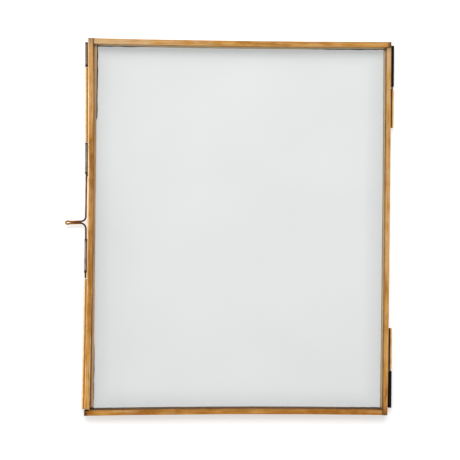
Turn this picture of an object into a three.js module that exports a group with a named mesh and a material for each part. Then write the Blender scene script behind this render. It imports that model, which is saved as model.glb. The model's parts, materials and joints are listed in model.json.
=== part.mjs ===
// A two-pane brass photo frame. It opens like a book on two pin hinges at its right side
// and is held shut by a sliding wire bolt at its left side.
//
// Lengths are millimetres. The frame lies on its back as seen from above:
// X runs across it, Y runs up it and Z points out of its front pane.

import * as THREE from "three";

// Outline of one panel
const frameWidth = 208;
const frameHeight = 257;

// Folded brass channel round each pane
const sheetThickness = 0.6;
const foldInnerRadius = 0.25;
const frontLeftFaceWidth = 3.6;
const frontRightFaceWidth = 3.2;
const frontEndFaceWidth = 3.75;
const rearLeftFaceWidth = 6;
const rearRightFaceWidth = 4;
const rearEndFaceWidth = 4.3;
const buttGap = 0.3;

// What the channel's groove holds
const glassThickness = 2;
const puttyThickness = 0.7;
const puttyRecess = 0.25;
const paneClearance = 1;
const seatClearance = 0.1;

// Space between the two closed panels
const partingGap = 0.6;

// Wire and the tubes that it runs in
const wireDiameter = 1.2;
const runningClearance = 0.08;
const hingeTubeWall = 0.52;
const claspTubeWall = 0.34;
const hingeStandOff = 0.6;
const claspStandOff = 0.05;
const solderHeight = 1.9;
const solderEdge = 0.06;
const solderGap = 0.05;

// Hinges at the right side, each from its own end of the frame
const upperHingeMargin = 2.2;
const upperRearKnuckleLength = 28.2;
const upperKnuckleGap = 2.7;
const upperFrontKnuckleLength = 25.8;
const lowerHingeMargin = 4.7;
const lowerRearKnuckleLength = 25.3;
const lowerKnuckleGap = 1.4;
const lowerFrontKnuckleLength = 28.3;
const pinInset = 0.4;

// Wire bolt and its tubes at the left side
const handleAboveMiddle = 3.3;
const handleReach = 14.3;
const eyeOpening = 0.94;
const eyeFlare = 3;
const handleWireGap = 0.06;
const bendReach = 3.5;
const upperBendHeight = 3.8;
const lowerBendHeight = 4.8;
const upperFreeWire = 29.1;
const lowerFreeWire = 6.7;
const topGuideMargin = 2.5;
const topGuideLength = 16.7;
const topGuideGap = 0.4;
const upperGuideLength = 21.3;
const upperGuideGap = 0.3;
const lowerGuideLength = 22.9;
const lowerGuideGap = 4.4;
const lowerSocketMargin = 4.4;
const upperTipInset = 1;
const lowerTipReach = 4;

// How far each curve of the bolt pulls towards its corner, as a share of its leg, its run
// or its flare
const legPull = 0.4;
const runPull = 0.5;
const flarePull = 0.4;

// Facets on round forms
const foldSteps = 2;
const tubeSides = 24;
const wireSides = 12;
const bendSteps = 8;
const eyeSteps = 10;

const quarterTurn = Math.PI / 2;
const halfWidth = frameWidth / 2;
const halfHeight = frameHeight / 2;
const grooveWidth = glassThickness + puttyThickness + 3 * seatClearance;
const panelThickness = grooveWidth + 2 * sheetThickness;
const frontPanelBase = panelThickness + partingGap;
const foldRadius = sheetThickness + foldInnerRadius;
const hingeHeight = panelThickness + partingGap / 2;
const wireRadius = wireDiameter / 2;
const boreRadius = wireRadius + runningClearance;
const hingeTubeRadius = boreRadius + hingeTubeWall;
const claspTubeRadius = boreRadius + claspTubeWall;
const hingeOffset = hingeStandOff + hingeTubeRadius;
const claspOffset = claspStandOff + claspTubeRadius;

const brass = new THREE.MeshStandardMaterial({ color: 0xc79648, roughness: 0.42, metalness: 1 });
const agedBrass = new THREE.MeshStandardMaterial({ color: 0x9a6c38, roughness: 0.5, metalness: 1 });
const blackenedBrass = new THREE.MeshStandardMaterial({ color: 0x1c1814, roughness: 0.6, metalness: 0.7 });
const wireBrass = new THREE.MeshStandardMaterial({ color: 0x7a4f26, roughness: 0.45, metalness: 1 });
const putty = new THREE.MeshStandardMaterial({ color: 0x4a3320, roughness: 0.9, metalness: 0 });
const glass = new THREE.MeshStandardMaterial({
  color: 0xdfe7e4,
  roughness: 0.05,
  metalness: 0,
  transparent: true,
  opacity: 0.3,
});

function namedMesh(name, geometry, material) {
  const mesh = new THREE.Mesh(geometry, material);
  mesh.name = name;
  return mesh;
}

// A shape drawn in X and Z, run down the Y axis from y = 0.
function extrudeDown(shape, length, curveSegments) {
  const geometry = new THREE.ExtrudeGeometry(shape, {
    depth: length,
    bevelEnabled: false,
    curveSegments,
  });
  geometry.rotateX(quarterTurn);
  return geometry;
}

// Section of the channel: its web lies on x = 0 and its two lips reach inwards.
function channelSection(face) {
  const lastFold = panelThickness - foldRadius;
  const section = new THREE.Shape();
  section.moveTo(face, 0);
  section.lineTo(foldRadius, 0);
  section.absarc(foldRadius, foldRadius, foldRadius, -quarterTurn, -2 * quarterTurn, true);
  section.lineTo(0, lastFold);
  section.absarc(foldRadius, lastFold, foldRadius, 2 * quarterTurn, quarterTurn, true);
  section.lineTo(face, panelThickness);
  section.lineTo(face, panelThickness - sheetThickness);
  section.lineTo(foldRadius, panelThickness - sheetThickness);
  section.absarc(foldRadius, lastFold, foldInnerRadius, quarterTurn, 2 * quarterTurn, false);
  section.lineTo(sheetThickness, foldRadius);
  section.absarc(foldRadius, foldRadius, foldInnerRadius, 2 * quarterTurn, 3 * quarterTurn, false);
  section.lineTo(face, sheetThickness);
  return section;
}

// The four channels of a panel follow each other like the sails of a pinwheel. Each one
// starts at an outer corner and stops against the lips of the next.
const sideOrder = ["left", "bottom", "right", "top"];

function panelSides(faces) {
  return sideOrder.map((side, index) => {
    const span = index % 2 === 0 ? frameHeight : frameWidth;
    const nextSide = sideOrder[(index + 1) % sideOrder.length];
    const cornerX = index < 2 ? -halfWidth : halfWidth;
    const cornerY = index % 3 === 0 ? halfHeight : -halfHeight;
    return {
      side,
      face: faces[side],
      length: span - faces[nextSide] - buttGap,
      turn: index * quarterTurn,
      corner: new THREE.Vector2(cornerX, cornerY),
    };
  });
}

// The putty starts where the folds end, at the web and at the closed end of its groove.
function puttyStrip(face, length, low) {
  const width = face - foldRadius - puttyRecess;
  const stripLength = length - foldRadius;
  const geometry = new THREE.BoxGeometry(width, stripLength, puttyThickness);
  geometry.translate(
    foldRadius + width / 2,
    -foldRadius - stripLength / 2,
    low + puttyThickness / 2,
  );
  return geometry;
}

// A pane in its four channels. The pane lies against the inner lips and the putty fills
// the groove between the pane and the outer lips.
function makePanel(prefix, faces, outerSideUp, metal) {
  const panel = new THREE.Group();
  const innerSeat = sheetThickness + seatClearance;
  const paneLow = outerSideUp ? innerSeat : innerSeat + puttyThickness + seatClearance;
  const puttyLow = outerSideUp ? innerSeat + glassThickness + seatClearance : innerSeat;
  const edgeInset = sheetThickness + paneClearance;
  const paneWidth = frameWidth - 2 * edgeInset;
  const paneHeight = frameHeight - 2 * edgeInset;
  const pane = new THREE.BoxGeometry(paneWidth, paneHeight, glassThickness);
  pane.translate(0, 0, paneLow + glassThickness / 2);
  panel.add(namedMesh(`${prefix}_glass`, pane, glass));
  for (const { side, face, length, turn, corner } of panelSides(faces)) {
    const holder = new THREE.Group();
    holder.position.set(corner.x, corner.y, 0);
    holder.rotation.z = turn;
    const channel = extrudeDown(channelSection(face), length, foldSteps);
    holder.add(namedMesh(`${prefix}_channel_${side}`, channel, metal));
    holder.add(namedMesh(`${prefix}_putty_${side}`, puttyStrip(face, length, puttyLow), putty));
    panel.add(holder);
  }
  return panel;
}

// Section of a tube beside a panel's web, with the solder that joins it to that web.
// side is 1 at the right of the frame and -1 at the left, and up is 1 on the front panel.
function knuckleSection(side, up) {
  const tubeOffset = side > 0 ? hingeOffset : claspOffset;
  const tubeRadius = side > 0 ? hingeTubeRadius : claspTubeRadius;
  const centre = new THREE.Vector2(side * tubeOffset, 0);
  const webLow = partingGap / 2 + solderEdge;
  const webHigh = webLow + solderHeight;
  const reach = Math.hypot(tubeOffset - solderGap, webHigh);
  const towardsWeb = Math.atan2(webHigh, tubeOffset - solderGap);
  const tangent = Math.PI - towardsWeb - Math.acos(tubeRadius / reach);
  const shoulder = Math.PI - Math.asin(webLow / tubeRadius);
  const outline = [];
  for (let step = 0; step <= tubeSides; step += 1) {
    const angle = tangent - (step / tubeSides) * (tangent + 2 * Math.PI - shoulder);
    outline.push(
      new THREE.Vector2(centre.x + side * tubeRadius * Math.cos(angle), up * tubeRadius * Math.sin(angle)),
    );
  }
  outline.push(new THREE.Vector2(side * solderGap, up * webLow));
  outline.push(new THREE.Vector2(side * solderGap, up * webHigh));
  const section = new THREE.Shape(outline);
  section.holes.push(new THREE.Path().absarc(centre.x, centre.y, boreRadius, 0, 2 * Math.PI));
  return section;
}

// A tube that starts the given distance below the frame's top edge.
function makeKnuckle(name, side, up, fromTop, length) {
  const geometry = extrudeDown(knuckleSection(side, up), length, tubeSides / 2);
  const knuckle = namedMesh(name, geometry, up > 0 ? brass : blackenedBrass);
  knuckle.position.set(side * halfWidth, halfHeight - fromTop, hingeHeight);
  return knuckle;
}

function makePin(name, fromTop, length) {
  const geometry = new THREE.CylinderGeometry(wireRadius, wireRadius, length, wireSides);
  const pin = namedMesh(name, geometry, wireBrass);
  pin.position.set(halfWidth + hingeOffset, halfHeight - fromTop - length / 2, hingeHeight);
  return pin;
}

function makeHinges() {
  const hinges = new THREE.Group();
  const upperFront = upperHingeMargin + upperRearKnuckleLength + upperKnuckleGap;
  const upperEnd = upperFront + upperFrontKnuckleLength;
  hinges.add(makeKnuckle("upper_hinge_rear_knuckle", 1, -1, upperHingeMargin, upperRearKnuckleLength));
  hinges.add(makeKnuckle("upper_hinge_front_knuckle", 1, 1, upperFront, upperFrontKnuckleLength));
  const upperPinLength = upperEnd - upperHingeMargin - 2 * pinInset;
  hinges.add(makePin("upper_hinge_pin", upperHingeMargin + pinInset, upperPinLength));

  const lowerEnd = frameHeight - lowerHingeMargin;
  const lowerRear = lowerEnd - lowerRearKnuckleLength;
  const lowerFront = lowerRear - lowerKnuckleGap - lowerFrontKnuckleLength;
  hinges.add(makeKnuckle("lower_hinge_front_knuckle", 1, 1, lowerFront, lowerFrontKnuckleLength));
  hinges.add(makeKnuckle("lower_hinge_rear_knuckle", 1, -1, lowerRear, lowerRearKnuckleLength));
  const lowerPinLength = lowerEnd - lowerFront - 2 * pinInset;
  hinges.add(makePin("lower_hinge_pin", lowerFront + pinInset, lowerPinLength));
  return hinges;
}

// A path through given points, with one station at each of them.
class StationPath extends THREE.Curve {
  constructor(points) {
    super();
    this.points = points;
  }

  getPoint(t, target = new THREE.Vector3()) {
    const last = this.points.length - 1;
    const place = Math.min(Math.max(t, 0), 1) * last;
    const index = Math.min(Math.floor(place), last - 1);
    return target.lerpVectors(this.points[index], this.points[index + 1], place - index);
  }

  getUtoTmapping(u) {
    return u;
  }
}

function bezierPoints(start, startPull, endPull, end, steps) {
  const at = (pair) => new THREE.Vector3(pair[0], pair[1], 0);
  const curve = new THREE.CubicBezierCurve3(at(start), at(startPull), at(endPull), at(end));
  return curve.getPoints(steps);
}

// Half of the bolt's centre line, from the end of its leg to the flare of the handle's eye.
// The handle's own centre is at (0, 0) on the line of the tubes, and up is 1 or -1.
function boltHalf(up, bendHeight, legEnd) {
  const run = wireRadius + handleWireGap / 2;
  const eyeRadius = wireRadius + eyeOpening / 2;
  const eyeCentre = handleReach - wireRadius - eyeRadius;
  const flareStart = eyeCentre - eyeFlare;
  return [
    new THREE.Vector3(0, up * legEnd, 0),
    ...bezierPoints(
      [0, up * bendHeight],
      [0, up * (run + legPull * (bendHeight - run))],
      [-runPull * bendReach, up * run],
      [-bendReach, up * run],
      bendSteps,
    ),
    ...bezierPoints(
      [-flareStart, up * run],
      [-flareStart - flarePull * eyeFlare, up * run],
      [-eyeCentre + flarePull * eyeFlare, up * eyeRadius],
      [-eyeCentre, up * eyeRadius],
      bendSteps / 2,
    ),
  ];
}

// The round end of the handle, without the two points that the halves already have.
function eyePoints() {
  const eyeRadius = wireRadius + eyeOpening / 2;
  const eyeCentre = handleReach - wireRadius - eyeRadius;
  const points = [];
  for (let step = 1; step < eyeSteps; step += 1) {
    const angle = quarterTurn + (step / eyeSteps) * Math.PI;
    points.push(
      new THREE.Vector3(-eyeCentre + eyeRadius * Math.cos(angle), eyeRadius * Math.sin(angle), 0),
    );
  }
  return points;
}

function makeClasp() {
  const clasp = new THREE.Group();
  const handleFromTop = halfHeight - handleAboveMiddle;
  const upperGuide = handleFromTop - upperBendHeight - upperFreeWire - upperGuideLength;
  const upperSocket = topGuideMargin + topGuideLength + topGuideGap;
  const lowerGuide = handleFromTop + lowerBendHeight + lowerFreeWire;
  const lowerGuideEnd = lowerGuide + lowerGuideLength;
  const lowerSocket = lowerGuideEnd + lowerGuideGap;
  const upperSocketLength = upperGuide - upperGuideGap - upperSocket;
  const lowerSocketLength = frameHeight - lowerSocketMargin - lowerSocket;
  clasp.add(makeKnuckle("clasp_top_guide", -1, -1, topGuideMargin, topGuideLength));
  clasp.add(makeKnuckle("clasp_upper_socket", -1, 1, upperSocket, upperSocketLength));
  clasp.add(makeKnuckle("clasp_upper_guide", -1, -1, upperGuide, upperGuideLength));
  clasp.add(makeKnuckle("clasp_lower_guide", -1, -1, lowerGuide, lowerGuideLength));
  clasp.add(makeKnuckle("clasp_lower_socket", -1, 1, lowerSocket, lowerSocketLength));

  const centreLine = [
    ...boltHalf(1, upperBendHeight, handleFromTop - upperGuide - upperTipInset),
    ...eyePoints(),
    ...boltHalf(-1, lowerBendHeight, lowerGuideEnd + lowerTipReach - handleFromTop).reverse(),
  ];
  const section = new THREE.Shape().absarc(0, 0, wireRadius, 0, 2 * Math.PI);
  const geometry = new THREE.ExtrudeGeometry(section, {
    steps: centreLine.length - 1,
    curveSegments: wireSides / 2,
    extrudePath: new StationPath(centreLine),
  });
  const bolt = namedMesh("clasp_wire", geometry, wireBrass);
  bolt.position.set(-halfWidth - claspOffset, halfHeight - handleFromTop, hingeHeight);
  clasp.add(bolt);
  return clasp;
}

// The origin is under the middle of the whole frame, with the handle and tubes counted.
function makeFrame() {
  const frame = new THREE.Group();
  const frontFaces = {
    left: frontLeftFaceWidth,
    bottom: frontEndFaceWidth,
    right: frontRightFaceWidth,
    top: frontEndFaceWidth,
  };
  const rearFaces = {
    left: rearLeftFaceWidth,
    bottom: rearEndFaceWidth,
    right: rearRightFaceWidth,
    top: rearEndFaceWidth,
  };
  const rearPanel = makePanel("rear", rearFaces, false, agedBrass);
  const frontPanel = makePanel("front", frontFaces, true, brass);
  frontPanel.position.z = frontPanelBase;
  frame.add(rearPanel, frontPanel, makeHinges(), makeClasp());
  frame.position.x = (claspOffset + handleReach - hingeOffset - hingeTubeRadius) / 2;
  return frame;
}

export default makeFrame();
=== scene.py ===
"""A metal photo frame: two panes of glass in folded brass channel, hinged like a book at the
right side and held shut by a sliding wire bolt at the left side. It lies on its back on a
white floor, and the camera looks straight down on it.

Places are in metres: X runs across the frame towards its hinges, Y runs up it and Z comes out
of its front pane."""

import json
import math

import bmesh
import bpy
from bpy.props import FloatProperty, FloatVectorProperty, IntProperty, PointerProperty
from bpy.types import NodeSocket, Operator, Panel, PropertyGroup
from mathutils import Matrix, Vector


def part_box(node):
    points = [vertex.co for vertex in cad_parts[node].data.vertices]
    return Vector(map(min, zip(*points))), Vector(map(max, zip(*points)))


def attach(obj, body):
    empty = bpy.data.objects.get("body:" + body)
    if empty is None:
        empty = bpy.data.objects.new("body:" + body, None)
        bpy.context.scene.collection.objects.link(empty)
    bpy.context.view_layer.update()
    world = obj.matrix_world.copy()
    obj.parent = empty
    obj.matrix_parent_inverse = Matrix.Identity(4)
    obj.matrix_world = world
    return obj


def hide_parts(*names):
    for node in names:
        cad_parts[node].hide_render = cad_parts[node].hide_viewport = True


bl_info = {
    "name": "Metal photo frame",
    "version": (1, 0, 0),
    "blender": (4, 5, 0),
    "location": "3D View > Sidebar > Photo Frame",
    "description": "Models the brass, solder, putty, wire and glass of a hinged photo frame",
    "category": "Object",
}

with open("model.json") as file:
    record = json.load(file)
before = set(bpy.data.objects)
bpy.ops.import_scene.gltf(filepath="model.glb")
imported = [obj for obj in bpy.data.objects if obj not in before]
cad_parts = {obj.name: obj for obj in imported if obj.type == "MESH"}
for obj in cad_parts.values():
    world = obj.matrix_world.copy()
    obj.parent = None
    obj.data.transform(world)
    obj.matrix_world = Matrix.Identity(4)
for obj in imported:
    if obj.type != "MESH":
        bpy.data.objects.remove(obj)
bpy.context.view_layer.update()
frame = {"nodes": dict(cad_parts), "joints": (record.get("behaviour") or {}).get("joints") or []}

MM = 0.001
ALONG_X = Vector((1, 0, 0))
ALONG_Y = Vector((0, 1, 0))

# Places nearer than TOUCHING are one place, and a share above ALIGNED of a length counts as all
TOUCHING = 0.01 * MM
ALIGNED = 0.99

RACKING = math.radians(0.15)
CAMERA_PLACE = (-0.04876, -0.00067, 0.90344)
CAMERA_TURN = [math.radians(angle) for angle in (-0.081, -3.134, 0.441)]
BODIES = {"front": "front_panel", "rear": "rear_panel", "clasp": "clasp"}
TUBES = {
    "clasp_top_guide": "rear",
    "clasp_upper_socket": "front",
    "clasp_upper_guide": "rear",
    "clasp_lower_guide": "rear",
    "clasp_lower_socket": "front",
    "upper_hinge_rear_knuckle": "rear",
    "upper_hinge_front_knuckle": "front",
    "lower_hinge_front_knuckle": "front",
    "lower_hinge_rear_knuckle": "rear",
}
HINGE_HEIGHT = frame["joints"][0]["pos_m"][2]

# Each side's way in, the side that its low or high end meets, and the axis that it runs along
INWARDS = {"left": ALONG_X, "bottom": ALONG_Y, "right": -ALONG_X, "top": -ALONG_Y}
NEXT_SIDE = {"left": "bottom", "bottom": "right", "right": "top", "top": "left"}
RUNS = {"left": 1, "bottom": 0, "right": 1, "top": 0}

PANEL_LOW = Vector((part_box("rear_channel_left")[0].x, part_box("rear_channel_bottom")[0].y, 0))
PANEL_HIGH = Vector((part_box("rear_channel_right")[1].x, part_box("rear_channel_top")[1].y, 0))
PANEL_MIDDLE = (PANEL_LOW + PANEL_HIGH) / 2
HALF_SPAN = {side: (PANEL_HIGH[run] - PANEL_LOW[run]) / 2 for side, run in RUNS.items()}
OUTSIDE = {side: PANEL_MIDDLE.dot(INWARDS[side]) - HALF_SPAN[NEXT_SIDE[side]] for side in RUNS}


# Sizes and colours

def size(name, description, millimetres):
    return FloatProperty(
        name=name, description=description, default=millimetres * MM, unit="LENGTH", precision=5
    )


def number(name, description, default, unit="NONE"):
    return FloatProperty(name=name, description=description, default=default, unit=unit)


def vector(name, description, subtype, *default):
    return FloatVectorProperty(
        name=name, description=description, default=default, subtype=subtype, precision=5
    )


def colour(name, description, *levels):
    return vector(name, description, "COLOR_GAMMA", *[level / 255 for level in levels])


class ChannelSizes(PropertyGroup):
    """Sizes of the folded brass channels."""

    sheet: size("Sheet", "Thickness of the brass sheet", 0.6)
    fold: size("Fold", "Outside radius of the two folds", 0.85)
    rim: size("Rim", "Rounding of the sheet's cut edges", 0.1)
    station: size("Station", "Spacing of the cuts along a channel", 2)
    dents: size("Dents", "Depth of the dents left by hand work", 0.14)
    dent_spacing: size("Dent spacing", "Distance between the dents", 11)


class SeamSizes(PropertyGroup):
    """Sizes of the solder in the corners of the channels."""

    thick: size("Thick", "Overlap on the brass at a corner with much solder", 0.4)
    thin: size("Thin", "Overlap on the brass at the other corners", 0.25)
    proud: size("Proud", "Height of the solder above the brass", 0.07)
    rim: size("Rim", "Rounding of the solder's edges", 0.1)
    station: size("Station", "Spacing of the cuts along a seam", 0.15)
    lumps: size("Lumps", "Unevenness of the solder", 0.3)
    lump_spacing: size("Lump spacing", "Distance between the lumps", 1.2)


class HandWork(PropertyGroup):
    """How far the soldered panels are from square and straight."""

    racking: number("Racking", "How far both panels lean out of square", RACKING, "ROTATION")
    bow_left: size("Left bow", "How far the left side bends in at its middle", 0.95)
    bow_bottom: size("Bottom bow", "How far the bottom bends in at its middle", 0.85)
    bow_right: size("Right bow", "How far the right side bends in at its middle", -0.25)
    bow_top: size("Top bow", "How far the top bends in at its middle", 0.6)
    handle_droop: size("Handle droop", "How far the handle's tip hangs down", 0.4)


class PuttySizes(PropertyGroup):
    """Sizes of the putty that beds the panes."""

    waves: size("Waves", "How much its squeezed edge wanders", 0.7)
    wave_spacing: size("Wave spacing", "Distance between its bulges", 5)
    station: size("Station", "Spacing of the cuts along a strip", 1.2)
    rim: size("Rim", "Rounding of its edges", 0.15)


class TubeSizes(PropertyGroup):
    """Sizes of the hinge and clasp tubes."""

    hinge_radius: size("Hinge radius", "Outside radius of a hinge tube", 1.2)
    clasp_radius: size("Clasp radius", "Outside radius of a clasp tube", 1.02)
    hinge_wall: size("Hinge wall", "Thickness of a hinge tube's wall", 0.32)
    clasp_wall: size("Clasp wall", "Thickness of a clasp tube's wall", 0.13)
    rim: size("Rim", "Rounding of a tube's ends", 0.05)
    station: size("Station", "Spacing of the rings along a tube", 2)
    dents: size("Dents", "Depth of a tube's dents", 0.08)
    dent_spacing: size("Dent spacing", "Distance between a tube's dents", 4)
    sides: IntProperty(name="Sides", description="Facets round a tube", default=32, min=12)


class SolderSizes(PropertyGroup):
    """Sizes of the solder between the tubes and the webs."""

    height: size("Height", "Height of the solder on the web", 1.7)
    past_axis: size("Past axis", "How far it reaches past the tube's centre line", 0.1)
    from_axis: size("From axis", "How far above or below that line it starts", 0.36)
    flat: size("Flat", "What its chamfer leaves of the narrower face", 0.15)
    overlap: size("Overlap", "How far it reaches into the tube's wall", 0.1)
    station: size("Station", "Spacing of the cuts along the solder", 0.8)
    lumps: size("Lumps", "Unevenness of the solder", 0.3)
    lump_spacing: size("Lump spacing", "Distance between the lumps", 2.2)


class WireSizes(PropertyGroup):
    """Sizes of the wire bolt and the hinge pins."""

    radius: size("Radius", "Radius of the wire", 0.63)
    handle_height: size("Handle height", "Height of the handle above the middle", 3.3)
    handle_reach: size("Handle reach", "From the legs' centre line to the tip", 14.3)
    eye_opening: size("Eye opening", "Inside width of the eye", 0.64)
    eye_flare: size("Eye flare", "Length over which the two runs part", 3)
    run_gap: size("Run gap", "Gap between the two runs of the handle", 0.02)
    bend_reach: size("Bend reach", "Length of a bend along the handle", 3.5)
    upper_bend: size("Upper bend", "Height of the upper bend", 3.8)
    lower_bend: size("Lower bend", "Height of the lower bend", 4.8)
    lean: size("Lean", "How far the upper leg leans out at the handle", 0.14)
    lean_start: size("Lean start", "Height above the handle where the leg leans", 31)
    bow_share: number("Bow share", "Share of the side's bend that the legs follow", 0.92)


class FinishColours(PropertyGroup):
    """Colours of the finishes, as they are seen."""

    gold: colour("Gold", "Satin brass", 211, 158, 84)
    pale_gold: colour("Pale gold", "Rubbed brass", 218, 180, 134)
    # Amber is also painted shade on the outer folds of the bottom, right and top, and on the clasp
    # sockets' sides towards their web
    amber: colour("Amber", "Heat stain on brass", 156, 98, 34)
    streak: colour("Streak", "Fine streaks in the brass", 172, 118, 56)
    # Painted highlight, laid on the left front fold, on the rear lips' edges and on the brass tubes'
    # outer sides
    highlight_cream: colour("Cream", "Fold that is rubbed bright", 232, 214, 176)
    # The four rear colours are one brass painted lighter or darker per side, as painted light and shade
    # for how each side is lit; rear brown also lies in every rear side's streaks and in the brown solder
    rear_pink: colour("Rear pink", "Rear brass at the left side", 226, 175, 124)
    rear_gold: colour("Rear gold", "Rear brass at the top", 244, 206, 158)
    rear_cream: colour("Rear cream", "Rear brass at the right side", 255, 212, 158)
    rear_brown: colour("Rear brown", "Stained rear brass at the bottom", 146, 102, 62)
    # Tarnish in specks, on putty and solder and near the front ends, and also painted shadow: the dark
    # line beside the front lips on the rear brass and the hinge tubes' sides towards their web
    tarnish_and_shadow: colour("Tarnish", "Dark tarnish beside the lips", 60, 38, 22)
    black: colour("Black", "Heat-blackened brass", 13, 10, 10)
    # Painted reflection, laid in patches on the outer side of the clasp's black tubes
    reflection_grey: colour("Worn grey", "Worn side of a blackened tube", 158, 145, 136)
    wire_brown: colour("Wire brown", "Browned wire", 148, 94, 40)
    wire_dark: colour("Wire dark", "Wire beside its bends", 74, 40, 14)
    wire_gold: colour("Wire gold", "Rubbed end of the handle", 180, 130, 58)
    putty: colour("Putty", "Putty in the grooves", 142, 98, 62)
    glass: colour("Glass", "Veil of the panes", 84, 118, 113)


class StageSettings(PropertyGroup):
    """The camera and the light."""

    camera_place: vector("Camera place", "Where the camera is", "TRANSLATION", *CAMERA_PLACE)
    camera_turn: vector("Camera turn", "How it is turned from looking down", "EULER", *CAMERA_TURN)
    lens: number("Lens", "Focal length in millimetres", 102.6)
    daylight: number("Daylight", "Strength of the room", 0.28)
    key_power: number("Key light", "Power of the large softbox", 8.15, "POWER")
    side_power: number("Side light", "Power of the left strip light", 3, "POWER")
    floor_radius: number("Floor radius", "Radius of the round floor", 8, "LENGTH")
    floor_white: number("Floor white", "Whiteness of the floor's surface", 0.9)
    floor_lift: number("Floor lift", "White added to the floor as it is seen", 0.5)
    far_lift: number("Far lift", "White added to the far floor as it is seen", 0.9)
    floor_near: number("Near floor", "Where the floor starts to whiten", 0.3, "LENGTH")
    floor_far: number("Far floor", "Where the floor is whitest", 1.5, "LENGTH")


class PhotoFrameSettings(PropertyGroup):
    """Everything that can be set on the photo frame."""

    channel: PointerProperty(type=ChannelSizes)
    seam: PointerProperty(type=SeamSizes)
    hand: PointerProperty(type=HandWork)
    putty: PointerProperty(type=PuttySizes)
    tube: PointerProperty(type=TubeSizes)
    solder: PointerProperty(type=SolderSizes)
    wire: PointerProperty(type=WireSizes)
    colours: PointerProperty(type=FinishColours)
    stage: PointerProperty(type=StageSettings)


# Modelling helpers

SELECT_MODES = {"verts": "VERT", "edges": "EDGE", "faces": "FACE"}


def assign(item, **values):
    for name, value in values.items():
        setattr(item, name, value)


def edit(on):
    bpy.ops.object.mode_set(mode="EDIT" if on else "OBJECT")


def deselect_all():
    if bpy.context.mode != "OBJECT":
        edit(False)
    bpy.ops.object.select_all(action="DESELECT")


def named(name):
    """Names the new primitive and puts its place into its mesh."""
    piece = bpy.context.object
    piece.name = name
    piece.data.name = name
    bpy.ops.object.transform_apply(location=True, rotation=True, scale=True)
    return piece


def add_box(name, low, high):
    deselect_all()
    bpy.ops.mesh.primitive_cube_add(size=1, location=(low + high) / 2, scale=high - low)
    return named(name)


def add_cylinder(name, centre, radius, length, sides, ends):
    """A cylinder along Y."""
    deselect_all()
    lying = (math.pi / 2, 0, 0)
    bpy.ops.mesh.primitive_cylinder_add(
        vertices=sides, radius=radius, depth=length, end_fill_type=ends, location=centre, rotation=lying
    )
    return named(name)


def pick(piece, kind, test):
    """Selects the vertices, edges or faces that pass a test, in edit mode."""
    bpy.ops.mesh.select_mode(type=SELECT_MODES[kind])
    bpy.ops.mesh.select_all(action="DESELECT")
    mesh = bmesh.from_edit_mesh(piece.data)
    for item in getattr(mesh, kind):
        if test(item):
            item.select_set(True)
    mesh.select_flush_mode()
    bmesh.update_edit_mesh(piece.data)


def runs_along(edge, direction):
    span = edge.verts[1].co - edge.verts[0].co
    return abs(span.dot(direction)) > ALIGNED * span.length


def cut_lengthwise(piece, direction, length, station):
    """Cuts every face across its length, in edit mode."""
    pick(piece, "edges", lambda edge: runs_along(edge, direction))
    bpy.ops.mesh.subdivide(number_cuts=max(1, round(length / station)))


def add_dents(piece, depth, spacing, direction, group=""):
    texture = bpy.data.textures.new(f"{piece.name}_{direction}", type="CLOUDS")
    assign(texture, noise_scale=spacing, noise_depth=1)
    dents = piece.modifiers.new("Dents", "DISPLACE")
    assign(dents, texture=texture, texture_coords="LOCAL", direction=direction)
    assign(dents, strength=depth, mid_level=0.5, vertex_group=group)


def add_wall(piece, thickness):
    wall = piece.modifiers.new("Wall", "SOLIDIFY")
    assign(wall, thickness=thickness, offset=-1, use_even_offset=True)


def round_rims(piece, width):
    rims = piece.modifiers.new("Rims", "BEVEL")
    assign(rims, width=width, segments=2, limit_method="ANGLE", angle_limit=math.radians(50))


def settle(piece, panel, material, node=None, smooth_degrees=35):
    """Applies a piece's modifiers, smooths it, gives it its material, rides it on its body and hides the
    CAD part it replaces.
    """
    deselect_all()
    piece.select_set(True)
    bpy.context.view_layer.objects.active = piece
    for modifier in list(piece.modifiers):
        bpy.ops.object.modifier_apply(modifier=modifier.name)
    bpy.ops.object.shade_smooth_by_angle(angle=math.radians(smooth_degrees))
    piece.data.materials.clear()
    piece.data.materials.append(material)
    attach(piece, BODIES[panel])
    if node:
        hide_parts(node)


def side_axis(side):
    return (ALONG_X, ALONG_Y)[RUNS[side]]


def across_name(side):
    return "YX"[RUNS[side]]


def lip_edge(panel, side):
    """How far in from the panel's outside a lip ends."""
    low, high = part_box(f"{panel}_channel_{side}")
    return abs((high - low).dot(INWARDS[side]))


def drift(setup, side, place):
    """How far hand work moves a point of a side: by the panel's racking and by the side's bow."""
    offset = place - PANEL_MIDDLE
    racked = Vector((offset.y, offset.x, 0)) * math.tan(setup.hand.racking)
    share = max(0.0, 1 - (offset.dot(side_axis(side)) / HALF_SPAN[side]) ** 2)
    return racked, INWARDS[side] * getattr(setup.hand, f"bow_{side}") * share


def set_by_hand(setup, piece, side, panel=None):
    """Moves a piece of a side to where hand work has put it. Only the rear panel's left lip is
    straight where its web is bent."""
    edge = lip_edge("rear", "left")
    for vertex in piece.data.vertices:
        racked, bow = drift(setup, side, vertex.co)
        if (panel, side) == ("rear", "left"):
            depth = vertex.co.dot(INWARDS[side]) - OUTSIDE[side]
            bow *= 1 - min(1.0, max(0.0, depth / edge))
        vertex.co += racked + bow


# Finishes

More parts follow.
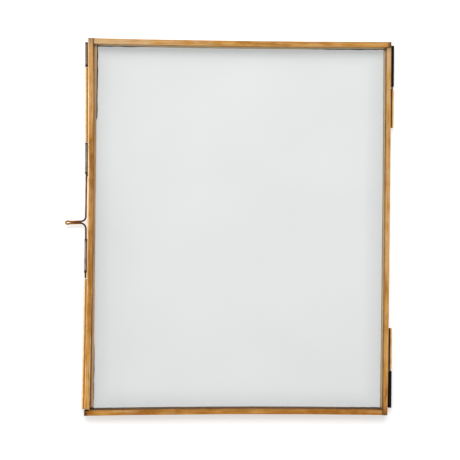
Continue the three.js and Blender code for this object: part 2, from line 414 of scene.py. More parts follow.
class Nodes:
    """A node tree that grows by one result at a time, and the inputs of its shader."""

    def __init__(self, tree, shader):
        self.tree = tree
        self.inputs = tree.nodes[shader].inputs

    def feed(self, socket, value):
        """Links another node's result to a socket, or sets the socket to a plain value."""
        if isinstance(value, NodeSocket):
            self.tree.links.new(value, socket)
        else:
            socket.default_value = value

    def shade(self, name, value):
        self.feed(self.inputs[name], value)

    def add(self, kind, inputs=(), **options):
        """The outputs of a new node, whose inputs are given in order or by name."""
        node = self.tree.nodes.new(kind)
        assign(node, **options)
        for key, value in inputs.items() if isinstance(inputs, dict) else enumerate(inputs):
            self.feed(node.inputs[key], value)
        return node.outputs

    def maths(self, operation, *values):
        return self.add("ShaderNodeMath", values, operation=operation)[0]

    def times(self, value, other):
        return self.maths("MULTIPLY", value, other)

    def level(self, value, low, high, to_low=0.0, to_high=1.0):
        """Stretches the part of a value between low and high."""
        return self.add("ShaderNodeMapRange", (value, low, high, to_low, to_high))[0]

    def seen_rays(self):
        """1 for rays from the camera, from a gloss or through glass, and 0 for other light."""
        path = self.add("ShaderNodeLightPath")
        value = path["Is Camera Ray"]
        for name in ("Is Glossy Ray", "Is Transmission Ray"):
            value = self.maths("MAXIMUM", value, path[name])
        return value


class Finish(Nodes):
    """A material of coats of colour that lie over a base. Sizes of its marks are millimetres."""

    def __init__(self, setup, name, base, metallic=0):
        self.material = bpy.data.materials.new(name)
        self.material.use_nodes = True
        super().__init__(self.material.node_tree, "Principled BSDF")
        self.setup = setup
        self.place = self.add("ShaderNodeTexCoord")["Object"]
        self.base = self.seen(base)
        self.shade("Metallic", metallic)

    def seen(self, name):
        """A colour as it is seen, turned into the linear light that shaders take."""
        levels = getattr(self.setup.colours, name)
        light = [c / 12.92 if c <= 0.04045 else ((c + 0.055) / 1.055) ** 2.4 for c in levels]
        return (*light, 1)

    def coat(self, name, share, *levels):
        """Lays a colour over what is there, which it hides where the stretched share is 1."""
        share = self.level(share, *levels) if levels else share
        self.base = self.add("ShaderNodeMixRGB", (share, self.base, self.seen(name)))[0]

    def grain(self, sizes, shift, detail=3):
        """Noise with marks of the given sizes along X, Y and Z. Each shift gives other noise."""
        scale = [1 / (mark * MM) for mark in sizes]
        mapping = {"Vector": self.place, "Scale": scale, "Location": [shift] * 3}
        mapped = self.add("ShaderNodeMapping", mapping)[0]
        return self.add("ShaderNodeTexNoise", {"Vector": mapped, "Scale": 1, "Detail": detail})[0]

    def brushed(self, side, length, width, shift, detail=3):
        """Noise whose marks run along a side."""
        sizes = [width] * 3
        sizes[RUNS[side]] = length
        return self.grain(sizes, shift, detail)

    def along(self, axis):
        """The place of a point along an axis, which is 0 for X and 1 for Y."""
        return self.add("ShaderNodeSeparateXYZ", [self.place])[axis]

    def inset(self, low, high, axis):
        """How far in from the nearer end of a box a point is along an axis."""
        offset = self.maths("SUBTRACT", self.along(axis), (low[axis] + high[axis]) / 2)
        half = (high[axis] - low[axis]) / 2
        return self.maths("SUBTRACT", half, self.maths("ABSOLUTE", offset))

    def straightened(self, side):
        """The share of a side's length at a point, and how far in from the panel's outside
        the point is, as if the panel were square and the side straight."""
        hand = self.setup.hand
        run = RUNS[side]
        inwards = INWARDS[side][1 - run]
        offset = self.maths("SUBTRACT", self.along(run), PANEL_MIDDLE[run])
        ratio = self.maths("DIVIDE", offset, HALF_SPAN[side])
        bend = self.maths("SUBTRACT", self.times(ratio, ratio), 1)
        bow = inwards * getattr(hand, f"bow_{side}")
        unbent = self.maths("MULTIPLY_ADD", bend, bow, self.along(1 - run))
        unracked = self.maths("MULTIPLY_ADD", offset, -math.tan(hand.racking), unbent)
        depth = self.maths("MULTIPLY_ADD", unracked, inwards, -OUTSIDE[side])
        return self.maths("MULTIPLY_ADD", ratio, 0.5, 0.5), depth

    def stops(self, value, places):
        """A value that changes in straight stretches between (place, amount) pairs."""
        result = self.add("ShaderNodeValToRGB", [value])[0]
        elements = result.node.color_ramp.elements
        while len(elements) < len(places):
            elements.new(0.5)
        for element, (place, amount) in zip(elements, places):
            element.position = place
            element.color = (amount, amount, amount, 1)
        return result

    def done(self, wear, worn_least, worn_most, relief, depth, strength=0.5):
        """The material, with its roughness where it is worn least and most, and its relief."""
        self.shade("Base Color", self.base)
        self.shade("Roughness", self.level(wear, 0.3, 0.7, worn_least, worn_most))
        bump = {"Height": relief, "Distance": depth * MM, "Strength": strength}
        self.shade("Normal", self.add("ShaderNodeBump", bump)[0])
        return self.material


# The tone of each front side from its low end to its high end: 0 is pale, 1 is amber
FRONT_TONES = {
    "left": [
        (0, 0.35), (0.13, 0.5), (0.28, 0.75), (0.42, 0.85), (0.55, 0.6), (0.67, 1), (0.76, 0.6), (1, 0.2)
    ],
    "right": [(0, 1), (0.1, 0.65), (0.17, 0.4), (0.3, 0.6), (0.44, 0.4), (0.75, 0.45), (1, 0.25)],
    "bottom": [(0, 1), (0.05, 0.5), (0.18, 0.85), (0.55, 0.7), (0.8, 0.9), (1, 0.75)],
    "top": [(0, 0), (0.15, 0.2), (0.25, 0.3), (0.38, 0.35), (0.56, 0.75), (0.75, 0.55), (1, 0.6)],
}

# The colour of each front side's outer fold and of its lip, and how strong they are: the fold's from the
# side's low end to its high end. The left fold is a painted highlight and the other folds painted shade;
# the bottom lip is painted shade and the top lip a painted highlight
FRONT_EDGES = {
    "left": (
        ("highlight_cream", [(0, 0), (0.2, 0), (0.35, 0.35), (0.45, 0.4), (0.54, 0.9), (0.83, 0.75), (0.93, 0.2)]),
        ("amber", 0),
    ),
    "bottom": (("amber", [(0, 0.3), (1, 0.3)]), ("rear_brown", 0.35)),
    "right": (("amber", [(0, 0.1), (1, 0.1)]), ("amber", 0)),
    "top": (("amber", [(0, 0.1), (0.5, 0.25), (1, 0.5)]), ("pale_gold", 0.2)),
}

# How dark each front side is near its ends, from its low end to its high end
END_DARKENING = {
    "left": [(0.0146, 0.5), (0.02, 0.1), (0.03, 0), (0.97, 0), (0.99, 0.3), (1, 0.6)],
    "bottom": [(0, 1), (0.006, 0.95), (0.01, 0.15), (0.02, 0), (0.975, 0), (0.985, 0.6)],
    "right": [(0, 0.8), (0.008, 0.4), (0.02, 0), (0.97, 0), (0.985, 0.6)],
    "top": [(0.017, 0.6), (0.025, 0), (0.988, 0), (0.993, 0.8), (1, 0.9)],
}


def front_brass(setup, side):
    """Front brass has warm streaks and patches, rubbed lines, specks and darkened ends, with painted
    highlight and painted shade along its outer fold and its lip.
    """
    finish = Finish(setup, f"front_brass_{side}", "streak", metallic=1)
    place, depth = finish.straightened(side)
    shift = 7 * len(side)
    streaks = finish.brushed(side, 26, 1.1, shift, detail=4)
    finish.coat("gold", streaks, 0.32, 0.55)
    mottle = finish.level(finish.brushed(side, 9, 5, shift + 9), 0.2, 0.8, -0.35, 0.35)
    tone = finish.maths("ADD", finish.stops(place, FRONT_TONES[side]), mottle)
    finish.coat("pale_gold", tone, 0.5, 0, 0, 0.9)
    finish.coat("amber", tone, 0.5, 1, 0, 0.9)
    rubbed = finish.brushed(side, 14, 1.6, shift + 3)
    finish.coat("pale_gold", rubbed, 0.55, 0.75, 0, 0.5)
    wander = finish.level(rubbed, 0.25, 0.6, 0.5, 1)
    # Painted highlight and painted shade along the outer fold and the lip, per side as listed above
    (fold_colour, fold_share), (lip_colour, lip_share) = FRONT_EDGES[side]
    fold = finish.times(finish.level(depth, 1.1 * MM, 0.6 * MM), wander)
    finish.coat(fold_colour, finish.times(fold, finish.stops(place, fold_share)))
    edge = lip_edge("front", side)
    lip = finish.level(depth, edge - 0.8 * MM, edge - 0.2 * MM, 0, lip_share)
    finish.coat(lip_colour, finish.times(lip, wander))
    lines = finish.brushed(side, 34, 0.5, shift + 14, detail=2)
    finish.coat("amber", lines, 0.6, 0.72, 0, 0.55)
    specks = finish.level(finish.grain((0.7,) * 3, shift + 20, detail=1), 0.66, 0.74, 0, 0.4)
    ends = finish.times(finish.stops(place, END_DARKENING[side]), wander)
    finish.coat("tarnish_and_shadow", finish.maths("MAXIMUM", specks, ends))
    scratches = finish.brushed(side, 9, 0.25, shift + 31, detail=2)
    return finish.done(rubbed, 0.46, 0.34, scratches, 0.02)


# The colour of each rear side, painted lighter or darker as painted light and shade for how that side is
# lit; how bright the painted highlight on its own lip's edge is; how wide the painted shadow beside the
# front lip is in millimetres; and how dark that shadow is along the side
REAR_TONES = {
    "left": ("rear_pink", 0.2, 0.75, [(0, 0.95), (0.2, 0.8), (0.32, 0.35), (0.85, 0.3), (0.95, 0.8)]),
    "bottom": ("rear_brown", 0, 0.75, [(0, 1), (0.12, 0.7), (0.8, 0.7), (1, 1)]),
    "right": ("rear_cream", 0.6, 0.42, [(0, 0.8), (0.1, 0.3), (0.6, 0.3), (0.75, 0.5), (1, 0.8)]),
    "top": ("rear_gold", 0.7, 0.5, [(0, 0.5), (0.15, 0.1), (0.7, 0.1), (1, 0.4)]),
}


def rear_brass(setup, side):
    """Rear brass in a colour painted lighter or darker per side, with a painted highlight on its lip's
    edge and a painted shadow in a dark line beside the front panel's lip.
    """
    own_colour, lip_highlight_share, shadow_line_width, shadow_darkness = REAR_TONES[side]
    finish = Finish(setup, f"rear_brass_{side}", "rear_brown", metallic=0.5)
    place, depth = finish.straightened(side)
    shift = 50 + 5 * len(side)
    streaks = finish.brushed(side, 22, 1.6, shift, detail=4)
    finish.coat(own_colour, streaks, 0.3, 0.6, 0.55, 1)
    edge = lip_edge("rear", side)
    # Painted highlight on the edge of the rear lip
    finish.coat("highlight_cream", depth, edge - 0.8 * MM, edge - 0.3 * MM, 0, lip_highlight_share)
    # Painted shadow of the front lip: a dark line beside it, wandering and fading along the side
    front_edge = lip_edge("front", side)
    width = shadow_line_width * MM
    near = finish.level(depth, front_edge + width, front_edge + 0.2 * width)
    wander = finish.level(finish.grain((12,) * 3, shift + 4), 0.3, 0.7, 0.6, 1)
    finish.coat("tarnish_and_shadow", finish.times(finish.times(near, wander), finish.stops(place, shadow_darkness)))
    return finish.done(streaks, 0.36, 0.26, finish.brushed(side, 7, 0.3, shift + 8), 0.02)


# The colour and the strength of the painted shade on each brass tube's side towards its web
TUBE_WEB_SHADE = {
    "clasp_upper_socket": ("amber", 1),
    "clasp_lower_socket": ("amber", 0.2),
    "upper_hinge_front_knuckle": ("tarnish_and_shadow", 0.95),
    "lower_hinge_front_knuckle": ("tarnish_and_shadow", 0.95),
}

# How strong the painted grey reflection on each black tube of the clasp is
TUBE_REFLECTION = {"clasp_top_guide": 0.6, "clasp_upper_guide": 0.8, "clasp_lower_guide": 0.9}


def across_tube(finish, node):
    """How far out from a tube's centre line a point is."""
    centre, _, _, outwards = tube_line(finish.setup, node)
    if outwards > 0:
        return finish.maths("SUBTRACT", finish.along(0), centre.x)
    depth = finish.straightened("left")[1]
    return finish.maths("SUBTRACT", PANEL_LOW.x - centre.x, depth)


def tube_brass(setup, node):
    """A tube's brass: gold, with a painted highlight on its outer side and painted shade towards its
    web.
    """
    finish = Finish(setup, f"{node}_brass", "gold", metallic=1)
    streaks = finish.grain((1.2, 12, 1.2), 70, detail=4)
    finish.coat("pale_gold", streaks, 0.35, 0.65)
    heat = finish.grain((5,) * 3, 75, detail=2)
    finish.coat("amber", heat, 0.5, 0.75, 0, 0.5)
    out = across_tube(finish, node)
    # Painted highlight on the outer side
    finish.coat("highlight_cream", out, 0.4 * MM, 0.85 * MM, 0, 0.35)
    # Painted shade on the side towards the web
    stain, strength = TUBE_WEB_SHADE[node]
    finish.coat(stain, out, 0.25 * MM, -0.5 * MM, 0, strength)
    return finish.done(streaks, 0.42, 0.28, finish.grain((0.4, 6, 0.4), 81), 0.015)


def black_tube(setup, node):
    """Heat-blackened brass. On the clasp the side that faces out has a painted grey reflection in
    patches.
    """
    worn = node in TUBE_REFLECTION
    finish = Finish(setup, f"{node}_black", "black", metallic=0.6 if worn else 0)
    finish.shade("Specular IOR Level", 0.5 if worn else 0.12)
    finish.coat("tarnish_and_shadow", finish.grain((2, 6, 2), 90, detail=4), 0.4, 0.75, 0, 0.3)
    # The clasp's tubes get a painted reflection on their outer side, fading near their ends
    if worn:
        out = across_tube(finish, node)
        wear = finish.level(out, -0.55 * MM, 0.25 * MM, 0, TUBE_REFLECTION[node])
        from_end = finish.inset(*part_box(node), 1)
        wear = finish.times(wear, finish.level(from_end, 0.5 * MM, 2.2 * MM))
        patches = finish.level(finish.grain((3, 6, 3), 94, detail=4), 0.3, 0.5, 0.35, 1)
        finish.coat("reflection_grey", finish.times(wear, patches))
    grains = finish.grain((0.5, 0.9, 0.5), 97)
    return finish.done(grains, 0.5, 0.36, grains, 0.02)


# The places along X between which the pins' colour fades, as the bolt's does to its tip
PIN_FADE = (0, 0.2)


def wire_finish(setup, name, leg_x, tip_x, brown_share):
    """Browned wire, dark about the handle's bends and rubbed to gold at its tip."""
    finish = Finish(setup, name, "wire_dark", metallic=1)
    mottle = finish.grain((1.5, 5, 1.5), 110, detail=4)
    finish.coat("wire_brown", mottle, 0.25, 0.5, 0, brown_share)
    reach = tip_x - leg_x
    above = finish.maths("SUBTRACT", finish.along(1), setup.wire.handle_height)
    beside = finish.level(finish.along(0), leg_x + 0.6 * reach, leg_x + 0.2 * reach)
    near_bends = finish.times(finish.level(above, 11 * MM, 4 * MM), beside)
    finish.coat("wire_dark", finish.times(near_bends, 0.8))
    finish.coat("wire_gold", finish.along(0), leg_x + 0.45 * reach, tip_x, 0, 0.9)
    return finish.done(mottle, 0.5, 0.34, finish.grain((0.3, 0.8, 0.3), 117), 0.015)


def solder_finish(setup, name, clean, blackness):
    """Solder between a clean colour and black."""
    finish = Finish(setup, name, clean, metallic=0.4)
    finish.shade("Specular IOR Level", 0.25)
    burns = finish.level(finish.grain((1.8,) * 3, 130, detail=4), 0.35, 0.7, 0, 0.6)
    finish.coat("black", blackness)
    finish.coat("black", finish.times(burns, blackness))
    return finish.done(burns, 0.4, 0.6, finish.grain((0.5,) * 3, 134), 0.04, 0.6)


def putty_finish(setup):
    finish = Finish(setup, "putty", "tarnish_and_shadow")
    lumps = finish.grain((1.2,) * 3, 150, detail=4)
    finish.coat("putty", lumps, 0.3, 0.6)
    return finish.done(lumps, 0.75, 0.95, lumps, 0.06, 0.8)


def glass_finish(setup):
    """Clear picture glass with a faint veil, and painted shade that thickens the veil towards the
    channels.
    """
    finish = Finish(setup, "glass", "glass")
    low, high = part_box("front_glass")
    inset = finish.maths("MINIMUM", finish.inset(low, high, 0), finish.inset(low, high, 1))
    # Painted shade: the veil thickens within 16 mm of the channels
    rim = finish.level(inset, 16 * MM, 2 * MM)
    veil = finish.level(finish.grain((60,) * 3, 170, detail=1), 0.3, 0.7, 0.064, 0.07)
    finish.shade("Alpha", finish.maths("ADD", veil, finish.times(rim, 0.022)))
    finish.shade("Base Color", finish.base)
    finish.shade("Roughness", 0.05)
    finish.shade("IOR", 1.5)
    return finish.material


# Pieces

def fold_strip(name, low, high, side, fold, station):
    """Folds a strip of sheet into a channel that is open towards the pane and at its ends."""
    inwards = INWARDS[side]
    axis = side_axis(side)
    piece = add_box(name, low, high)
    edit(True)

    def open_side(face):
        return face.normal.dot(inwards) > ALIGNED or abs(face.normal.dot(axis)) > ALIGNED

    pick(piece, "faces", open_side)
    bpy.ops.mesh.delete(type="FACE")
    pick(piece, "edges", lambda edge: len(edge.link_faces) == 2)
    bpy.ops.mesh.bevel(offset=fold, segments=5, profile=0.5, affect="EDGES")
    pick(piece, "edges", lambda edge: runs_along(edge, inwards))
    bpy.ops.mesh.subdivide(number_cuts=2)
    cut_lengthwise(piece, axis, (high - low).dot(axis), station)
    edit(False)
    return piece


def make_channel(setup, panel, side, material):
    sizes = setup.channel
    node = f"{panel}_channel_{side}"
    channel = fold_strip(f"{node}_folded", *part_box(node), side, sizes.fold, sizes.station)
    set_by_hand(setup, channel, side, panel)
    add_wall(channel, sizes.sheet)
    round_rims(channel, sizes.rim)
    add_dents(channel, sizes.dents, sizes.dent_spacing, "Z")
    add_dents(channel, sizes.dents, 2 * sizes.dent_spacing, across_name(side))
    settle(channel, panel, material, node)


def make_seam(setup, panel, side, material, overlap):
    """The solder in the gap where a channel's end meets the lips of the next channel."""
    sizes = setup.seam
    low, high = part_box(f"{panel}_channel_{side}")
    next_low, next_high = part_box(f"{panel}_channel_{NEXT_SIDE[side]}")
    gap_low, gap_high = (next_high, low) if side in ("left", "top") else (high, next_low)
    run = RUNS[side]
    start, end = low.copy(), high.copy()
    start[run] = gap_low[run] - overlap
    end[run] = gap_high[run] + overlap
    start.z -= sizes.proud if panel == "front" else 0
    end.z += sizes.proud
    outwards = -INWARDS[side] * sizes.proud
    start += Vector([min(0, value) for value in outwards])
    end += Vector([max(0, value) for value in outwards])
    name = f"{panel}_{side}_seam_solder"
    seam = fold_strip(name, start, end, side, setup.channel.fold, sizes.station)
    set_by_hand(setup, seam, side)
    add_wall(seam, setup.channel.sheet)
    round_rims(seam, sizes.rim)
    add_dents(seam, sizes.lumps, sizes.lump_spacing, "NORMAL")
    settle(seam, panel, material, smooth_degrees=60)


# How far each strip of putty is squeezed inwards, in millimetres, at places along its side: -1 is
# the side's low end and 1 its high end
SQUEEZED = {
    ("front", "left"): [(-1, 0.75), (-0.4, 0.5), (-0.3, -0.1), (0.78, -0.1), (0.86, 0.5), (1, 0.6)],
    ("front", "bottom"): [(-1, 0.75), (-0.5, 0.3), (0.5, 0.3), (1, 0.7)],
    ("front", "right"): [(-1, 0.1), (-0.8, -0.2), (0.35, -0.2), (0.5, 0.3), (1, 0.3)],
    ("front", "top"): [(-1, 0.3), (-0.7, 0.2), (-0.6, -0.2), (0.4, -0.2), (0.5, 0.1), (1, 0.1)],
    ("rear", "left"): [(-1, 0.4), (-0.65, 0.6), (-0.55, -0.4), (0.56, -0.5), (0.58, 0.95), (1, 0.95)],
    ("rear", "bottom"): [(-1, 0.45), (-0.5, 0.1), (0.5, 0.1), (1, 0.45)],
    ("rear", "right"): [(-1, -0.4), (1, -0.5)],
    ("rear", "top"): [(-1, 0.55), (-0.7, 0.45), (-0.55, -0.2), (0.35, -0.2), (0.5, 0.45), (1, 0.5)],
}


def between(points, place):
    """The amount at a place, along straight lines between (place, amount) pairs."""
    for (low, before), (high, after) in zip(points, points[1:]):
        if place <= high:
            return before + (after - before) * max(0.0, (place - low) / (high - low))
    return points[-1][1]


def squeeze_out(putty, panel, side):
    """Moves the squeezed edge past the lip or back under it."""
    group = putty.vertex_groups["squeezed"].index
    for vertex in putty.data.vertices:
        if any(item.group == group for item in vertex.groups):
            place = (vertex.co - PANEL_MIDDLE).dot(side_axis(side)) / HALF_SPAN[side]
            vertex.co += INWARDS[side] * between(SQUEEZED[panel, side], place) * MM


def make_putty(setup, panel, side, material):
    """A strip of putty whose squeezed edge wanders past the lip."""
    sizes = setup.putty
    node = f"{panel}_putty_{side}"
    low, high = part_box(node)
    inwards = INWARDS[side]
    axis = side_axis(side)
    putty = add_box(f"{node}_squeezed", low, high)
    edit(True)
    cut_lengthwise(putty, axis, (high - low).dot(axis), sizes.station)
    inner = max(low.dot(inwards), high.dot(inwards))
    pick(putty, "verts", lambda vertex: vertex.co.dot(inwards) > inner - TOUCHING)
    bpy.ops.object.vertex_group_add()
    putty.vertex_groups.active.name = "squeezed"
    bpy.ops.object.vertex_group_assign()
    edit(False)
    squeeze_out(putty, panel, side)
    set_by_hand(setup, putty, side, panel)
    add_dents(putty, sizes.waves, sizes.wave_spacing, across_name(side), "squeezed")
    round_rims(putty, sizes.rim)
    settle(putty, panel, material, node)


def tube_line(setup, node):
    """A tube's middle, its length, its radius and the way out from the frame, 1 or -1."""
    low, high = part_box(node)
    sizes = setup.tube
    radius = sizes.clasp_radius if node.startswith("clasp") else sizes.hinge_radius
    outwards = 1 if low.x > 0 else -1
    axis_x = high.x - radius if outwards > 0 else low.x + radius
    centre = Vector((axis_x, (low.y + high.y) / 2, HINGE_HEIGHT))
    return centre, high.y - low.y, radius, outwards


def set_tube_by_hand(setup, piece, outwards):
    """The clasp tubes follow the web that they are soldered to. The hinge tubes and pins stay
    on their axis and only shift along it."""
    if outwards < 0:
        set_by_hand(setup, piece, "left")
        return
    shift = HALF_SPAN["top"] * math.tan(setup.hand.racking)
    for vertex in piece.data.vertices:
        vertex.co.y += shift


def make_tube(setup, node, panel, material):
    sizes = setup.tube
    centre, length, radius, outwards = tube_line(setup, node)
    tube = add_cylinder(f"{node}_tube", centre, radius, length, sizes.sides, "NOTHING")
    edit(True)
    cut_lengthwise(tube, ALONG_Y, length, sizes.station)
    edit(False)
    set_tube_by_hand(setup, tube, outwards)
    add_wall(tube, sizes.hinge_wall if outwards > 0 else sizes.clasp_wall)
    round_rims(tube, sizes.rim)
    add_dents(tube, sizes.dents, sizes.dent_spacing, "NORMAL")
    settle(tube, panel, material, node)


# How far past its tube's low end and its high end each solder seam spills, in millimetres. The
# others end inside their tubes' ends.
SPILLS = {
    "clasp_upper_guide": (1.6, -0.3),
    "upper_hinge_rear_knuckle": (2.4, -0.3),
    "upper_hinge_front_knuckle": (-0.3, 0.9),
    "lower_hinge_front_knuckle": (0.6, -0.3),
    "lower_hinge_rear_knuckle": (-0.3, 1.2),
}
NO_SPILL = (-0.3, -0.3)


def make_tube_solder(setup, node, panel, material):
    """The solder between a tube and the web beside it, above the tube's middle on the front
    panel and below it on the rear panel."""
    sizes = setup.solder
    centre, length, radius, outwards = tube_line(setup, node)
    low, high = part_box(f"{panel}_channel_{'right' if outwards > 0 else 'left'}")
    web = high.x if outwards > 0 else low.x
    edge = centre.x + outwards * sizes.past_axis
    up = 1 if panel == "front" else -1
    near = centre.z + up * sizes.from_axis
    far = near + up * sizes.height
    low_spill, high_spill = SPILLS.get(node, NO_SPILL)
    start = Vector((min(web, edge), centre.y - length / 2 - low_spill * MM, min(near, far)))
    end = Vector((max(web, edge), centre.y + length / 2 + high_spill * MM, max(near, far)))
    solder = add_box(f"{node}_solder", start, end)
    edit(True)

    def outer_far_edge(item):
        place = (item.verts[0].co + item.verts[1].co) / 2
        at_corner = abs(place.x - edge) < TOUCHING and abs(place.z - far) < TOUCHING
        return at_corner and runs_along(item, ALONG_Y)

    pick(solder, "edges", outer_far_edge)
    chamfer = min(sizes.height, abs(edge - web)) - sizes.flat
    bpy.ops.mesh.bevel(offset=chamfer, segments=5, profile=0.12, affect="EDGES")
    cut_lengthwise(solder, ALONG_Y, length, sizes.station)
    edit(False)
    set_tube_by_hand(setup, solder, outwards)
    add_dents(solder, sizes.lumps, sizes.lump_spacing, "NORMAL")
    core_radius = radius - sizes.overlap
    core = add_cylinder(f"{node}_core", centre, core_radius, 2 * length, setup.tube.sides, "NGON")
    set_tube_by_hand(setup, core, outwards)
    assign(solder.modifiers.new("Tube", "BOOLEAN"), operation="DIFFERENCE", object=core)
    settle(solder, panel, material, smooth_degrees=50)
    bpy.data.objects.remove(core)


def make_pin(setup, node, material):
    """A hinge pin: straight wire with rounded ends."""
    low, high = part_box(node)
    radius = setup.wire.radius
    pin = add_cylinder(f"{node}_rod", (low + high) / 2, radius, high.y - low.y, 24, "NGON")
    edit(True)
    pick(pin, "edges", lambda edge: not runs_along(edge, ALONG_Y))
    bpy.ops.mesh.bevel(offset=0.7 * radius, segments=4, affect="EDGES")
    edit(False)
    set_tube_by_hand(setup, pin, 1)
    settle(pin, "rear", material, node)


# How long a curve's handle is for a quarter of a circle whose radius is 1
QUARTER_PULL = 0.5523

# The angles at which a rounded tip has its rings, and the smallest ring's share of the radius
TIP_ANGLES = (0, 20, 45, 70, 90)
TIP_SHARE = 0.08


class WireRoute:
    """The bolt's centre line: a leg up, the hairpin handle with its eye, and a leg down."""

    def __init__(self, setup):
        self.setup = setup
        self.sizes = sizes = setup.wire
        low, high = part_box("clasp_wire")
        straight = Vector((high.x - sizes.radius, sizes.handle_height, 0))
        self.bow = sizes.bow_share * drift(setup, "left", straight)[1].x
        self.leg_x = straight.x + self.bow
        self.run = sizes.radius + sizes.run_gap / 2
        self.eye = sizes.radius + sizes.eye_opening / 2
        self.eye_centre = sizes.handle_reach - sizes.radius - self.eye
        self.points = []
        self.tip(high.y, 1)
        self.point((0, sizes.lean_start))
        self.half(sizes.upper_bend, sizes.lean, 1)
        pull = QUARTER_PULL * self.eye
        self.point((-self.eye_centre - self.eye, 0), (0, pull), (0, -pull))
        lower = len(self.points)
        self.half(sizes.lower_bend, 0, -1)
        self.points[lower:] = [
            (place, out_pull, in_pull, radius)
            for place, in_pull, out_pull, radius in reversed(self.points[lower:])
        ]
        self.tip(low.y, -1)

    def follow(self, y):
        """How far in from the leg's line the bent side's tubes are."""
        place = Vector((self.leg_x, self.sizes.handle_height + y, 0))
        return drift(self.setup, "left", place)[1].x - self.bow

    def point(self, place, in_pull=(0, 0), out_pull=(0, 0), radius=1.0):
        """Adds a point, which is placed from the handle's height on the leg's line."""
        x, y = self.leg_x + place[0], self.sizes.handle_height + place[1]
        racked = drift(self.setup, "left", Vector((x, y, 0)))[0]
        droop = place[0] / self.sizes.handle_reach * self.setup.hand.handle_droop
        x, y = x + racked.x, y + racked.y + droop
        pulls = ((0, 0), in_pull, out_pull)
        places = [Vector((x + right, y + up, HINGE_HEIGHT)) for right, up in pulls]
        self.points.append((*places, radius))

    def tip(self, end_y, up):
        """A rounded tip, as points whose radius closes towards the end."""
        angles = [math.radians(angle) for angle in TIP_ANGLES[::up]]
        for angle in angles:
            depth = (1 - math.cos(angle)) * self.sizes.radius
            y = end_y - self.sizes.handle_height - up * depth
            self.point((self.follow(y), y), radius=max(math.sin(angle), TIP_SHARE))

    def half(self, bend, lean, up):
        """The bend, the run and the flare of one half, from the leg to the eye."""
        reach = self.sizes.bend_reach
        spread = self.sizes.eye_flare
        flare = self.eye_centre - spread
        straight_pull = 0.3 * (flare - reach)
        bend_pull = 0.6 * (bend - self.run)
        self.point((-lean, up * bend), (0, up * 0.5 * bend), (0, -up * bend_pull))
        self.point((-reach, up * self.run), (0.5 * reach, 0), (-straight_pull, 0))
        self.point((-flare, up * self.run), (straight_pull, 0), (-0.4 * spread, 0))
        pull = QUARTER_PULL * self.eye
        self.point((-self.eye_centre, up * self.eye), (0.4 * spread, 0), (-pull, 0))


def make_wire(setup):
    route = WireRoute(setup)
    deselect_all()
    bpy.ops.curve.primitive_bezier_curve_add()
    wire = bpy.context.object
    wire.name = "clasp_wire_bent"
    curve = wire.data
    curve.splines.clear()
    spline = curve.splines.new("BEZIER")
    spline.bezier_points.add(len(route.points) - 1)
    for knot, (place, in_pull, out_pull, radius) in zip(spline.bezier_points, route.points):
        assign(knot, co=place, handle_left_type="FREE", handle_right_type="FREE")
        assign(knot, handle_left=in_pull, handle_right=out_pull, radius=radius)
    assign(curve, dimensions="3D", bevel_depth=setup.wire.radius, bevel_resolution=6)
    assign(curve, resolution_u=12, use_fill_caps=True)
    bpy.ops.object.convert(target="MESH")
    wire = bpy.context.object
    wire.data.name = wire.name
    tip_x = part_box("clasp_wire")[0].x
    material = wire_finish(setup, "bolt_wire", route.leg_x, tip_x, brown_share=1)
    settle(wire, "clasp", material, "clasp_wire", smooth_degrees=60)


# The stage

# Each softbox's place, its width and its height
SOFTBOXES = {
    "key_softbox": (Vector((-0.05, 0.61, 1.0)), 1.0, 0.6),
    "side_strip": (Vector((-1.1, 0.1, 0.3)), 1.0, 0.3),
}


def add_camera(scene, stage):
    deselect_all()
    bpy.ops.object.camera_add(location=stage.camera_place, rotation=stage.camera_turn)
    camera = bpy.context.object
    assign(camera.data, lens=stage.lens, clip_start=0.01)
    scene.camera = camera


def add_floor(stage):
    deselect_all()
    below = (0, 0, -0.2 * MM)
    bpy.ops.mesh.primitive_circle_add(
        vertices=96, radius=stage.floor_radius, fill_type="NGON", location=below
    )
    floor = named("white_floor")
    material = bpy.data.materials.new("white_floor")
    material.use_nodes = True
    nodes = Nodes(material.node_tree, "Principled BSDF")
    place = nodes.add("ShaderNodeTexCoord")["Object"]
    distance = nodes.add("ShaderNodeVectorMath", [place], operation="LENGTH")["Value"]
    lift = nodes.level(distance, stage.floor_near, stage.floor_far, stage.floor_lift, stage.far_lift)
    nodes.shade("Base Color", (*[stage.floor_white] * 3, 1))
    nodes.shade("Roughness", 0.9)
    nodes.shade("Specular IOR Level", 0)
    nodes.shade("Emission Color", (1, 1, 1, 1))
    nodes.shade("Emission Strength", nodes.times(nodes.seen_rays(), lift))
    floor.data.materials.append(material)


def add_softbox(name, power):
    """A softbox that faces the frame."""
    place, width, height = SOFTBOXES[name]
    deselect_all()
    bpy.ops.object.light_add(type="AREA", location=place)
    lamp = bpy.context.object
    lamp.name = name
    lamp.rotation_euler = (-place).to_track_quat("-Z", "Y").to_euler()
    assign(lamp.data, shape="RECTANGLE", size=width, size_y=height, energy=power)
    return lamp


def light_world(scene, stage):
    world = bpy.data.worlds.new("white_room")
    world.use_nodes = True
    scene.world = world
    nodes = Nodes(world.node_tree, "Background")
    nodes.shade("Color", (1, 1, 1, 1))
    nodes.shade("Strength", nodes.level(nodes.seen_rays(), 0, 1, stage.daylight, 1))


# Operators

class PHOTOFRAME_OT_stage(Operator):
    """Set up the floor, the light and the camera"""

    bl_idname = "photoframe.stage"
    bl_label = "Stage"

    def execute(self, context):
        stage = context.scene.photo_frame.stage
        add_camera(context.scene, stage)
        add_floor(stage)
        key = add_softbox("key_softbox", stage.key_power)
        key.visible_glossy = False
        add_softbox("side_strip", stage.side_power)
        light_world(context.scene, stage)
        context.scene.view_settings.view_transform = "Standard"
        return {"FINISHED"}


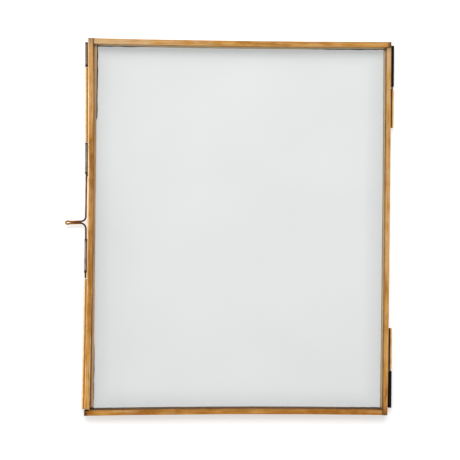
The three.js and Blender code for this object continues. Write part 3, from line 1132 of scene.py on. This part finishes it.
class PHOTOFRAME_OT_channels(Operator):
    """Fold the eight brass channels and fill their corner seams with solder"""

    bl_idname = "photoframe.channels"
    bl_label = "Channels"

    def execute(self, context):
        setup = context.scene.photo_frame
        black = solder_finish(setup, "seam_black", "tarnish_and_shadow", 0.9)
        brown = solder_finish(setup, "seam_brown", "rear_brown", 0.4)
        thick, thin = (black, setup.seam.thick), (brown, setup.seam.thin)
        for panel, brass in (("front", front_brass), ("rear", rear_brass)):
            for side in INWARDS:
                make_channel(setup, panel, side, brass(setup, side))
                make_seam(setup, panel, side, *(thick if side == "left" else thin))
        return {"FINISHED"}


class PHOTOFRAME_OT_putty(Operator):
    """Squeeze a strip of putty into each channel beside its pane"""

    bl_idname = "photoframe.putty"
    bl_label = "Putty"

    def execute(self, context):
        setup = context.scene.photo_frame
        material = putty_finish(setup)
        for panel in ("front", "rear"):
            for side in INWARDS:
                make_putty(setup, panel, side, material)
        return {"FINISHED"}


class PHOTOFRAME_OT_panes(Operator):
    """Give the two panes their glass"""

    bl_idname = "photoframe.panes"
    bl_label = "Panes"

    def execute(self, context):
        material = glass_finish(context.scene.photo_frame)
        for panel in ("front", "rear"):
            pane = frame["nodes"][f"{panel}_glass"]
            pane.data.materials.clear()
            pane.data.materials.append(material)
        return {"FINISHED"}


class PHOTOFRAME_OT_tubes(Operator):
    """Make the hinge and clasp tubes and their solder"""

    bl_idname = "photoframe.tubes"
    bl_label = "Tubes"

    def execute(self, context):
        setup = context.scene.photo_frame
        hinge = solder_finish(setup, "hinge_solder", "tarnish_and_shadow", 0.4)
        clasp = solder_finish(setup, "clasp_solder", "streak", 0.1)
        black = solder_finish(setup, "black_solder", "tarnish_and_shadow", 0.95)
        for node, panel in TUBES.items():
            if panel == "front":
                metal = tube_brass(setup, node)
                solder = clasp if node.startswith("clasp") else hinge
            else:
                metal = black_tube(setup, node)
                solder = black
            make_tube(setup, node, panel, metal)
            make_tube_solder(setup, node, panel, solder)
        return {"FINISHED"}


class PHOTOFRAME_OT_pins(Operator):
    """Put the two hinge pins in their tubes"""

    bl_idname = "photoframe.pins"
    bl_label = "Hinge pins"

    def execute(self, context):
        setup = context.scene.photo_frame
        material = wire_finish(setup, "pin_wire", *PIN_FADE, brown_share=0.35)
        for node in ("upper_hinge_pin", "lower_hinge_pin"):
            make_pin(setup, node, material)
        return {"FINISHED"}


class PHOTOFRAME_OT_bolt(Operator):
    """Bend the wire bolt with its pull handle"""

    bl_idname = "photoframe.bolt"
    bl_label = "Wire bolt"

    def execute(self, context):
        make_wire(context.scene.photo_frame)
        return {"FINISHED"}


STEPS = (
    PHOTOFRAME_OT_stage,
    PHOTOFRAME_OT_channels,
    PHOTOFRAME_OT_putty,
    PHOTOFRAME_OT_panes,
    PHOTOFRAME_OT_tubes,
    PHOTOFRAME_OT_pins,
    PHOTOFRAME_OT_bolt,
)
SETTINGS = (
    ChannelSizes,
    SeamSizes,
    HandWork,
    PuttySizes,
    TubeSizes,
    SolderSizes,
    WireSizes,
    FinishColours,
    StageSettings,
    PhotoFrameSettings,
)


class PHOTOFRAME_PT_panel(Panel):
    """The steps that make the photo frame"""

    bl_idname = "PHOTOFRAME_PT_panel"
    bl_label = "Photo Frame"
    bl_space_type = "VIEW_3D"
    bl_region_type = "UI"
    bl_category = "Photo Frame"

    def draw(self, context):
        for operator in STEPS:
            self.layout.operator(operator.bl_idname)


def register():
    for item in (*SETTINGS, *STEPS, PHOTOFRAME_PT_panel):
        bpy.utils.register_class(item)
    bpy.types.Scene.photo_frame = PointerProperty(type=PhotoFrameSettings)


def unregister():
    del bpy.types.Scene.photo_frame
    for item in (PHOTOFRAME_PT_panel, *reversed(STEPS), *reversed(SETTINGS)):
        bpy.utils.unregister_class(item)


def main():
    register()
    bpy.ops.photoframe.stage()
    bpy.ops.photoframe.channels()
    bpy.ops.photoframe.putty()
    bpy.ops.photoframe.panes()
    bpy.ops.photoframe.tubes()
    bpy.ops.photoframe.pins()
    bpy.ops.photoframe.bolt()


if __name__ == "__main__":
    main()
